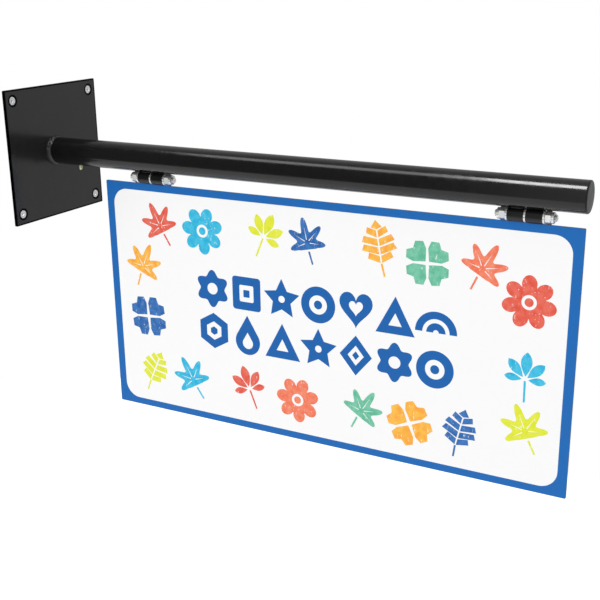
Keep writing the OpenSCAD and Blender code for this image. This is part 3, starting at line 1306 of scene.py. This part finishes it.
    def nut_profile(self, angle: float, height: float) -> list[Point]:
        """A lock nut's outline at an angle: hexagon, collar and rolled lip.

        Args:
            angle: the angle round the stud.
            height: the nut's height with its collar.

        Returns:
            The outline.
        """
        corner_r = hex_radius(angle, self.nut_flat_r)
        bore_r = self.stud_r + self.thread_fit
        chamfer = self.nut_land + (corner_r - self.nut_flat_r) * math.tan(math.radians(30))
        collar_r = self.nut_flat_r - self.collar_step
        lip_r = self.pocket_r - self.lip_overlap
        hex_h = height - self.collar_h
        lip_x = height - self.lip_h
        ring_x = lip_x - self.ring_t
        outside = [
            (0.0, bore_r + self.nut_mouth),
            (0.0, self.nut_flat_r * self.nut_foot_share),
            (chamfer, corner_r),
            (hex_h - chamfer, corner_r),
            (hex_h, self.nut_flat_r * self.nut_top_share),
            (hex_h, collar_r),
            (height - self.nut_mouth, collar_r),
            (height, collar_r - self.collar_wall),
            (height - self.lip_drop, lip_r),
            (lip_x, lip_r),
            (lip_x, self.pocket_r),
            (ring_x, self.pocket_r),
            (ring_x, bore_r),
            (self.nut_mouth, bore_r),
        ]
        return rounded(outside, self.nut_edge_r)

    def nuts(self) -> None:
        """Builds both lock nuts and the nylon rings in their collars."""
        rings = []
        for side in ("wall_side", "end_side"):
            nut = f"{self.node(side)}_nut"
            span = Span.of(nut)
            axis = span.outward() if side == "end_side" else span.wallward()
            height = span.length
            piece = turned(f"{nut}_zinc", axis, lambda angle: self.nut_profile(angle, height), steps=120)
            seat(piece, self.plating, Body.ARM, [nut])
            start = height - self.lip_h - self.ring_t
            bore_r = self.stud_r + self.thread_fit
            profile = self.sleeve_profile(self.ring_t, bore_r, self.pocket_r, self.ring_edge_r)
            rings.append(turned("nylon_ring", axis, plain([(start + x, r) for x, r in profile])))
        piece = joined(f"{self.node('nut_rings')}_nylon", rings)
        seat(piece, self.ring_nylon, Body.ARM, [self.node("nut_rings")])

    def washers(self) -> None:
        """Builds the washer between the barrels and the two under the nuts."""
        bore_r = self.stud_r + self.washer_fit
        self.sleeve("middle_washer", bore_r, self.washer_edge_r, Body.ARM, self.plating)
        thickness = Span.of(self.node("middle_washer")).length
        pair = Span.of(self.node("nut_washers"))
        profile = plain(self.sleeve_profile(thickness, bore_r, pair.radius, self.washer_edge_r))
        parts = [turned("nut_washer", axis, profile) for axis in (pair.outward(), pair.wallward())]
        piece = joined(f"{self.node('nut_washers')}_zinc", parts)
        seat(piece, self.plating, Body.ARM, [self.node("nut_washers")])

    def build(self) -> None:
        """Builds the whole hinge, from the stud outwards."""
        self.stud()
        self.barrels()
        self.washers()
        self.nuts()
        self.welds()


# The printed artwork: plain play blocks in the middle, and leaves dabbed round them


class Paint(Enum):
    """The colours of the dabbed leaves, each as full paint and thin paint."""

    BLUE = ((0.01, 0.11, 0.37), (0.03, 0.17, 0.5))
    RED = ((0.74, 0.075, 0.04), (0.8, 0.14, 0.09))
    LIME = ((0.7, 0.76, 0.005), (0.76, 0.8, 0.04))
    ORANGE = ((0.92, 0.36, 0.03), (0.94, 0.5, 0.05))
    SKY = ((0.005, 0.42, 0.68), (0.04, 0.52, 0.76))
    GREEN = ((0.1, 0.46, 0.29), (0.18, 0.56, 0.38))
    CORAL = ((0.85, 0.15, 0.07), (0.88, 0.24, 0.13))

    def material(self) -> bpy.types.Material:
        """Builds the paint of this colour."""
        return DabbedPaint(f"paint_{self.name.lower()}", *self.value).material()


def polar(points: Sequence[Point]) -> Outline:
    """An outline from (radius, angle in degrees from straight up, clockwise) pairs."""
    return [
        (radius * math.sin(math.radians(angle)), radius * math.cos(math.radians(angle)))
        for radius, angle in points
    ]


def lobe(foot: float, tip: float, width: float, lean_deg: float) -> Outline:
    """One leaflet that leans out from the leaf's foot.

    Args:
        foot: how far from the leaf's middle it starts.
        tip: how far out its tip is.
        width: its greatest width.
        lean_deg: its lean from straight up.

    Returns:
        The outline.
    """
    steps = 9
    sides: list[Point] = []
    for side, order in ((1, range(steps + 1)), (-1, range(steps - 1, 0, -1))):
        for i in order:
            t = i / steps
            half = width / 2 * math.sin(math.pi * t**1.25) ** 0.75 * side
            half *= 1 + 0.05 * math.sin(9 * math.pi * t)
            sides.append((half, foot + (tip - foot) * t))
    cosine = math.cos(math.radians(lean_deg))
    sine = math.sin(math.radians(lean_deg))
    return [(x * cosine + y * sine, y * cosine - x * sine) for x, y in sides]


def stalk(foot: float, length: float) -> Outline:
    """A tapered stalk that hangs from a height and bends a little."""
    return [(-1.6, foot), (1.8, foot), (3.6, foot - length), (0.6, foot - length - 1)]


def palm_leaf() -> list[Outline]:
    """A broad leaf with five pointed lobes, a vein in each and a short stalk."""
    lobe_deg = 52
    reach_deg = 2.45 * lobe_deg
    palm_r = 19
    middle_tip_r = 43
    outer_tip_drop = 11
    steps = 80
    edge = []
    for i in range(steps + 1):
        angle = reach_deg * (2 * i / steps - 1)
        wave = 0.5 + 0.5 * math.cos(math.radians(360 * angle / lobe_deg))
        tip_r = middle_tip_r - outer_tip_drop * abs(angle) / reach_deg
        edge.append((palm_r + (tip_r - palm_r) * wave**1.4, angle))
    veins = []
    for i in range(-2, 3):
        middle = lobe_deg * i
        veins.append(polar([(5, middle - 9), (29 - 3 * abs(i), middle), (5, middle + 9)]))
    return [polar(edge), *veins, stalk(-15, 22)]


def fan_leaf() -> list[Outline]:
    """Five slender leaflets on a short stalk, like a chestnut's leaf."""
    reach = {0: 44, 44: 40, -44: 40, 88: 32, -88: 32}
    foot = 5
    leaflets = [lobe(foot, tip, 0.45 * (tip - foot), lean) for lean, tip in reach.items()]
    return [*leaflets, stalk(-2, 34)]


def star_flower() -> list[Outline]:
    """Seven petals joined round a hollow middle with a dot in it."""
    petals = 7
    notch_r = 24
    petal_l = 16
    steps = petals * 14
    edge = []
    for i in range(steps):
        bulge = abs(math.cos(petals * math.pi * i / steps)) ** 0.7
        edge.append((notch_r + petal_l * bulge, 360 * i / steps))
    return [polar(edge), ring(11, steps=28), ring(6.5, steps=24)]


def split_leaf() -> list[Outline]:
    """One broad leaf in four pairs of ribs beside its middle vein."""
    ribs = []
    for height, half_w in ((-19, 21), (-6, 29), (7, 27), (20, 18)):
        rib = ((1.2, 0), (half_w, 8), (half_w * 0.84, 17), (1.2, 11))
        ribs += [[(side * x, height + y) for x, y in rib] for side in (-1, 1)]
    tip = [(-9, 36), (0, 32.5), (9, 36), (0, 47)]
    return [*ribs, stalk(-20, 20), tip]


def clover() -> list[Outline]:
    """Four notched leaflets round a small gap."""
    made = []
    for quarter in range(4):
        middle = 45 + 90 * quarter
        half = [(4, middle), (24, middle - 41), (36, middle - 34), (40, middle - 15), (33, middle)]
        mirrored = [(radius, 2 * middle - angle) for radius, angle in half[-2:0:-1]]
        made.append(polar([*half, *mirrored]))
    return made


class Shape(Enum):
    """A printed shape, whose value holds the function that draws it."""

    def outlines(self) -> list[Outline]:
        """The shape's outlines in millimetres, centred on the origin."""
        return self.value[0]()


class Dab(Shape):
    """The kinds of leaf that are dabbed on the panel."""

    PALM_LEAF = (palm_leaf,)
    FAN_LEAF = (fan_leaf,)
    STAR_FLOWER = (star_flower,)
    SPLIT_LEAF = (split_leaf,)
    CLOVER = (clover,)


def star(points: int, outer: float, inner: float) -> Outline:
    """A star with a point straight up."""
    return polar([(outer if i % 2 == 0 else inner, 180 / points * i) for i in range(2 * points)])


def heart(size: float) -> Outline:
    """A heart that fills a square of a size."""
    steps = 40
    made = []
    for i in range(steps):
        t = TURN * i / steps
        x = 16 * math.sin(t) ** 3
        y = 13 * math.cos(t) - 5 * math.cos(2 * t) - 2 * math.cos(3 * t) - math.cos(4 * t)
        made.append((x / 34 * size, (y + 2.5) / 30 * size))
    return made


def band(outer: float, inner: float, foot: float) -> Outline:
    """Half a ring that stands on its two ends at a height."""
    steps = 24
    made = []
    for radius, order in ((outer, range(steps + 1)), (inner, range(steps, -1, -1))):
        for i in order:
            angle = math.pi * i / steps
            made.append((radius * math.cos(angle), radius * math.sin(angle) + foot))
    return made


def blossom(petals: int, radius: float) -> Outline:
    """A flower drawn with one wavy line."""
    steps = petals * 12
    waves = [0.86 + 0.14 * math.cos(petals * TURN * i / steps) for i in range(steps)]
    return polar([(radius * wave, 360 * i / steps) for i, wave in enumerate(waves)])


def drop(size: float) -> Outline:
    """A round drop with its point up."""
    belly_r = size * 0.36
    steps = 24
    made = [(0.0, size * 0.56)]
    for i in range(steps + 1):
        angle = math.radians(38 - 256 * i / steps)
        made.append((belly_r * math.cos(angle), belly_r * math.sin(angle) - size * 0.14))
    return made


def framed(outline: Outline, hole: float, core: float = 0.0) -> list[Outline]:
    """A shape with a hole of its own form, and perhaps a small copy in the hole.

    Args:
        outline: the shape.
        hole: the hole's size, as a share of the shape's.
        core: the copy's size, or zero for none.

    Returns:
        The outlines.
    """
    centre_x = sum(x for x, _ in outline) / len(outline)
    centre_y = sum(y for _, y in outline) / len(outline)
    shares = [1.0, hole, core] if core else [1.0, hole]
    return [
        [(centre_x + (x - centre_x) * share, centre_y + (y - centre_y) * share) for x, y in outline]
        for share in shares
    ]


class Block(Shape):
    """The play shapes, each as its outlines in millimetres."""

    SQUARE = (lambda: framed(round_rectangle(59, 63, 6), 0.5, 0.22),)
    DISC = (lambda: framed(ring(33.5), 0.52, 0.24),)
    TRIANGLE = (lambda: framed([(-36, -31), (36, -31), (0, 36)], 0.34),)
    STAR = (lambda: [star(5, 38, 19), ring(6.5, steps=24)],)
    HEART = (lambda: framed(heart(67), 0.42),)
    RAINBOW = (lambda: [band(37, 24, -17), band(17, 5, -17)],)
    DIAMOND = (lambda: framed([(0, 37), (31, 0), (0, -37), (-31, 0)], 0.5, 0.22),)
    BLOSSOM = (lambda: [blossom(6, 36), ring(11)],)
    DROP = (lambda: framed(drop(72), 0.42),)
    HEXAGON = (lambda: framed(polar([(35, 60 * i) for i in range(6)]), 0.52, 0.24),)


def placed(
    outlines: Sequence[Outline], u: float, v: float, turn_deg: float = 0.0, size: float = 1.0
) -> list[Outline]:
    """Turns, scales and shifts outlines.

    Args:
        outlines: the outlines in millimetres.
        u: the shift to the right.
        v: the shift up.
        turn_deg: the turn against the clock.
        size: the scale.

    Returns:
        The outlines in metres.
    """
    cosine = math.cos(math.radians(turn_deg)) * size
    sine = math.sin(math.radians(turn_deg)) * size
    return [
        [((x * cosine - y * sine + u) * MM, (x * sine + y * cosine + v) * MM) for x, y in outline]
        for outline in outlines
    ]


@dataclass(frozen=True)
class Artwork:
    """The print on one face of the panel, laid out from the panel's middle in millimetres."""

    block_rows: tuple[tuple[Block, ...], ...] = (
        (Block.BLOSSOM, Block.SQUARE, Block.STAR, Block.DISC, Block.HEART, Block.TRIANGLE, Block.RAINBOW),
        (Block.HEXAGON, Block.DROP, Block.TRIANGLE, Block.STAR, Block.DIAMOND, Block.BLOSSOM, Block.DISC),
    )
    block_pitch: float = 73.0
    row_heights: tuple[float, float] = (41.0, -41.0)
    paint_order: tuple[Paint, ...] = (
        Paint.RED, Paint.SKY, Paint.LIME, Paint.BLUE, Paint.ORANGE, Paint.GREEN, Paint.CORAL
    )
    dab_order: tuple[Dab, ...] = (
        Dab.PALM_LEAF, Dab.STAR_FLOWER, Dab.FAN_LEAF, Dab.PALM_LEAF, Dab.SPLIT_LEAF, Dab.CLOVER
    )
    dab_groups: tuple[int, ...] = (2, 2, 3, 1, 2, 3, 2, 2, 2)
    dab_gap: float = 93.0
    dab_shift: float = 5.0
    dab_lift: float = 6.0
    dab_turn_deg: float = 32.0
    dab_sizes: Point = (1.04, 1.16)
    ring_half_w: float = 372.0
    ring_half_h: float = 147.0
    seed: int = 11

    def blocks(self) -> list[Outline]:
        """The two rows of play blocks."""
        made = []
        for row, height in zip(self.block_rows, self.row_heights):
            for i, block in enumerate(row):
                u = (i - (len(row) - 1) / 2) * self.block_pitch
                made += placed(block.outlines(), u, height)
        return made

    def ring_place(self, run: float) -> Point:
        """A place on the rectangle that the dabs stand on.

        Args:
            run: how far round, in millimetres from the upper left corner, clockwise.

        Returns:
            The place, from the panel's middle.
        """
        width = 2 * self.ring_half_w
        height = 2 * self.ring_half_h
        run %= 2 * (width + height)
        if run < width:
            return (run - self.ring_half_w, self.ring_half_h)
        if run < width + height:
            return (self.ring_half_w, self.ring_half_h - (run - width))
        if run < 2 * width + height:
            return (self.ring_half_w - (run - width - height), -self.ring_half_h)
        return (-self.ring_half_w, (run - 2 * width - height) - self.ring_half_h)

    def dab_places(self) -> list[Point]:
        """The dabs' places: small groups, with the same room between one group and the next."""
        around = 4 * (self.ring_half_w + self.ring_half_h)
        inside = self.dab_gap * sum(count - 1 for count in self.dab_groups)
        room = (around - inside) / len(self.dab_groups)
        made = []
        run = room / 3
        for count in self.dab_groups:
            made += [self.ring_place(run + self.dab_gap * i) for i in range(count)]
            run += self.dab_gap * (count - 1) + room
        return made

    def dabs(self) -> dict[Paint, list[Outline]]:
        """The dabbed leaves, sorted by their paint."""
        chance = random.Random(self.seed)
        made: dict[Paint, list[Outline]] = {paint: [] for paint in self.paint_order}
        for i, (u, v) in enumerate(self.dab_places()):
            u += chance.uniform(-self.dab_shift, self.dab_shift)
            v += chance.uniform(-self.dab_lift, self.dab_lift)
            turn_deg = chance.uniform(-self.dab_turn_deg, self.dab_turn_deg)
            kind = self.dab_order[i % len(self.dab_order)]
            paint = self.paint_order[i % len(self.paint_order)]
            made[paint] += placed(kind.outlines(), u, v, turn_deg, chance.uniform(*self.dab_sizes))
        return made


@dataclass
class Panel:
    """The flat panel: a coated plate, a film and a pale field on each face, and the print on them."""

    coat: bpy.types.Material
    border: bpy.types.Material
    pale: bpy.types.Material
    block_ink: bpy.types.Material
    paints: dict[Paint, bpy.types.Material]
    artwork: Artwork = Artwork()
    corner_r: float = 2 * MM
    edge_r: float = 0.35 * MM
    ink_t: float = 0.06 * MM

    @staticmethod
    def upright(face: Face, x: float, y: float, z: float) -> Matrix:
        """Carries a flat sheet to a place, so that it stands upright and looks the way a face does."""
        way = face.value
        return Matrix(((-way, 0, 0, x), (0, 0, way, y), (0, 1, 0, z), (0, 0, 0, 1)))

    def plate(self) -> None:
        """Builds the plate between the films."""
        low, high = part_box("panel_plate")
        outline = round_rectangle(high.x - low.x, high.z - low.z, self.corner_r)
        place = self.upright(Face.FRONT, *((low + high) / 2))
        piece = sheet("panel_plate_coated", [outline], high.y - low.y, place, self.edge_r)
        seat(piece, self.coat, Body.PANEL, ["panel_plate"])

    def print_face(self, face: Face) -> None:
        """Dresses one face's film and field, and lays the print on them.

        Args:
            face: the face.
        """
        side = face.name.lower()
        dress_node(f"{side}_face", self.border)
        dress_node(f"{side}_field", self.pale)
        low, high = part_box(f"{side}_field")
        middle = (low + high) / 2
        surface = low.y if face is Face.FRONT else high.y
        place = self.upright(face, middle.x, surface + face.value * self.ink_t / 2, middle.z)
        blocks = sheet(f"{side}_play_blocks", self.artwork.blocks(), self.ink_t, place)
        seat(blocks, self.block_ink, Body.PANEL)
        for paint, outlines in self.artwork.dabs().items():
            piece = sheet(f"{side}_dabs_{paint.name.lower()}", outlines, self.ink_t, place)
            seat(piece, self.paints[paint], Body.PANEL)

    def build(self) -> None:
        """Builds the panel with both printed faces."""
        self.plate()
        for face in Face:
            self.print_face(face)


# The studio


@dataclass
class Studio:
    """A pale floor, a white surround, soft boxes and the camera."""

    floor_z: float = -1.9
    floor_half: float = 2.8
    floor_glow: float = 0.4
    ambient: float = 0.96
    camera_at: Place = (1.352, -1.492, 0.3181)
    looks_at: Place = (0.5373, -0.002, -0.2279)
    roll_deg: float = 0.74
    lens: float = 60.85

    def floor(self) -> None:
        """Builds the floor, which the camera sees as white with the object's shadow on it."""
        mesh = bmesh.new()
        bmesh.ops.create_grid(mesh, x_segments=8, y_segments=8, size=self.floor_half)
        mesh.transform(Matrix.Translation((0.0, 0.0, self.floor_z)))
        piece = finished_mesh("studio_floor", mesh)
        graph = Graph(bpy.data.materials.new("studio_paper"))
        tone = graph.blend(graph.noise(3, 3), (0.86, 0.86, 0.86), (0.88, 0.88, 0.88))
        paper = graph.result("ShaderNodeBsdfDiffuse", {"Color": tone})
        strength = graph.maths("MULTIPLY", graph.seen(), self.floor_glow)
        glow = graph.result("ShaderNodeEmission", {"Strength": strength})
        both = graph.result("ShaderNodeAddShader", {0: paper, 1: glow})
        piece.data.materials.append(graph.end("ShaderNodeOutputMaterial", both))

    def surround(self) -> None:
        """Builds the world: white to the camera, dimmer behind it where gloss would mirror it."""
        graph = Graph(bpy.data.worlds.new("studio_surround"))
        x, y, z = graph.parts(graph.coordinates["Generated"])
        # What gloss mirrors, by the way that the mirrored ray goes
        before = graph.span(x, -0.33, -0.22, 0.1, 0.55)
        behind = graph.span(z, 0.05, 0.6, 0.56, 0.54)
        around = graph.span(y, -0.35, 0.45, before, behind)
        mirrored = graph.span(x, 0.74, 0.86, around, 0.03)
        level = graph.span(graph.ray("Is Glossy Ray"), 0.0, 1.0, self.ambient, mirrored)
        level = graph.span(graph.seen(), 0.0, 1.0, level, 1.0)
        white = graph.result("ShaderNodeBackground", {"Color": (1.0, 1.0, 1.0), "Strength": level})
        bpy.context.scene.world = graph.end("ShaderNodeOutputWorld", white)

    @staticmethod
    def placed_in_scene(name: str, data: bpy.types.Light | bpy.types.Camera) -> bpy.types.Object:
        """Puts a lamp or a camera into the scene."""
        holder = bpy.data.objects.new(name, data)
        bpy.context.scene.collection.objects.link(holder)
        return holder

    @staticmethod
    def aimed(start: Place, aim: Place) -> Quaternion:
        """The turn that makes a lamp or a camera at a place look at another."""
        return (Vector(aim) - Vector(start)).to_track_quat("-Z", "Y")

    def soft_box(
        self,
        name: str,
        centre: Place,
        aim: Place,
        size: Point,
        watts: float,
        mirrored: bool = True,
        lighting: bool = True,
        only_on: Sequence[bpy.types.Object] = (),
    ) -> None:
        """Hangs a soft box.

        Args:
            name: the lamp's name.
            centre: where its face is.
            aim: the point that it faces.
            size: its width and height.
            watts: its power.
            mirrored: whether gloss shows it.
            lighting: whether it lights matt surfaces.
            only_on: the pieces that it shines on, or none for all.
        """
        lamp = bpy.data.lights.new(name, "AREA")
        lamp.shape = "RECTANGLE"
        lamp.size, lamp.size_y = size
        lamp.energy = watts
        holder = self.placed_in_scene(name, lamp)
        holder.location = centre
        holder.rotation_euler = self.aimed(centre, aim).to_euler()
        holder.visible_camera = False
        holder.visible_glossy = mirrored
        holder.visible_diffuse = lighting
        if only_on:
            lit = bpy.data.collections.new(f"{name}_pieces")
            for piece in only_on:
                lit.objects.link(piece)
            holder.light_linking.receiver_collection = lit

    def lamps(self, plated: Sequence[bpy.types.Object]) -> None:
        """Hangs a key box in front, two strips that gloss over the arm, and boxes for the plating.

        Args:
            plated: the zinc-plated pieces, which mirror two boxes of their own.
        """
        self.soft_box("key_box", (-1.2, -4.2, 2.6), (0.5, 0.0, -0.2), (3.0, 2.4), 55.8, mirrored=False)
        over_arm = {"foot_strip": (-0.205, 1.09, 6.2), "end_strip": (0.64, 0.52, 17.5)}
        for name, (x, length, watts) in over_arm.items():
            self.soft_box(name, (x, -0.5, 1.5), (x, -0.5, 0.0), (length, 0.6), watts, lighting=False)
        for name, centre, aim, size, watts in (
            ("hinge_box", (-0.2, -1.2, -0.12), (0.1, 0.0, -0.04), (2.6, 0.7), 2.9),
            ("screw_box", (0.28, 1.3, 1.3), (0.0, 0.0, 0.0), (0.8, 0.8), 8.0),
        ):
            self.soft_box(name, centre, aim, size, watts, lighting=False, only_on=plated)

    def camera(self) -> None:
        """Sets the camera where the sign is seen from."""
        lens = bpy.data.cameras.new("studio_camera")
        lens.lens = self.lens
        lens.sensor_width = 36.0
        lens.clip_end = 200.0
        holder = self.placed_in_scene("studio_camera", lens)
        aim = self.aimed(self.camera_at, self.looks_at).to_matrix()
        roll = Matrix.Rotation(math.radians(-self.roll_deg), 3, "Z")
        holder.matrix_world = Matrix.Translation(self.camera_at) @ (aim @ roll).to_4x4()
        bpy.context.scene.camera = holder

    def build(self, plated: Sequence[bpy.types.Object]) -> None:
        """Builds the studio.

        Args:
            plated: the zinc-plated pieces.
        """
        self.floor()
        self.surround()
        self.lamps(plated)
        self.camera()
        bpy.context.scene.view_settings.view_transform = "Standard"


def main() -> None:
    """Builds the sign from the wall outwards, then the studio round it."""
    logging.basicConfig(level=logging.INFO, format="%(name)s: %(message)s")
    hinge_zinc = ZincPlate("hinge_zinc").material()
    screw_zinc = ZincPlate("screw_zinc", roughness=0.26).material()
    weld_coat = PowderCoat("weld_coat", (0.021, 0.0215, 0.022), 0.24, 0.03 * MM, 0.3 * MM).material()

    pattern = ScrewPattern()
    WallPlate(pattern, PowderCoat("plate_coat", (0.0115, 0.0115, 0.0118), 0.2, 0.012 * MM)).build()
    WallScrews(pattern, screw_zinc).build()

    Arm(
        coat=PowderCoat("arm_coat", (0.0055, 0.0055, 0.0056), 0.17, 0.006 * MM).material(),
        weld_coat=weld_coat,
        plastic=Moulding("cap_plastic", (0.011, 0.011, 0.0113), 0.32, specular_level=0.25).material(),
        brass=TurnedBrass("drain_brass").material(),
    ).build()

    barrel_coat = PowderCoat("barrel_coat", (0.004, 0.004, 0.0042), 0.32).material()
    bush_nylon = Moulding("bush_nylon", (0.75, 0.73, 0.66), 0.4, 0.01 * MM, 0.25).material()
    ring_nylon = Moulding("ring_nylon", (0.1, 0.16, 0.4), 0.38, 0.01 * MM, 0.2).material()
    for which in Which:
        Hinge(which, barrel_coat, weld_coat, hinge_zinc, bush_nylon, ring_nylon).build()

    Panel(
        coat=PowderCoat("panel_coat", (0.02, 0.02, 0.021), 0.34).material(),
        border=PrintedFilm("border_print", (0.002, 0.13, 0.45)).material(),
        pale=PrintedFilm("field_print", (0.9, 0.9, 0.9), 0.006).material(),
        block_ink=PrintedFilm("block_print", (0.002, 0.115, 0.41)).material(),
        paints={paint: paint.material() for paint in Paint},
    ).build()

    Studio().build(wearing(hinge_zinc, screw_zinc))


if __name__ == "__main__":
    main()
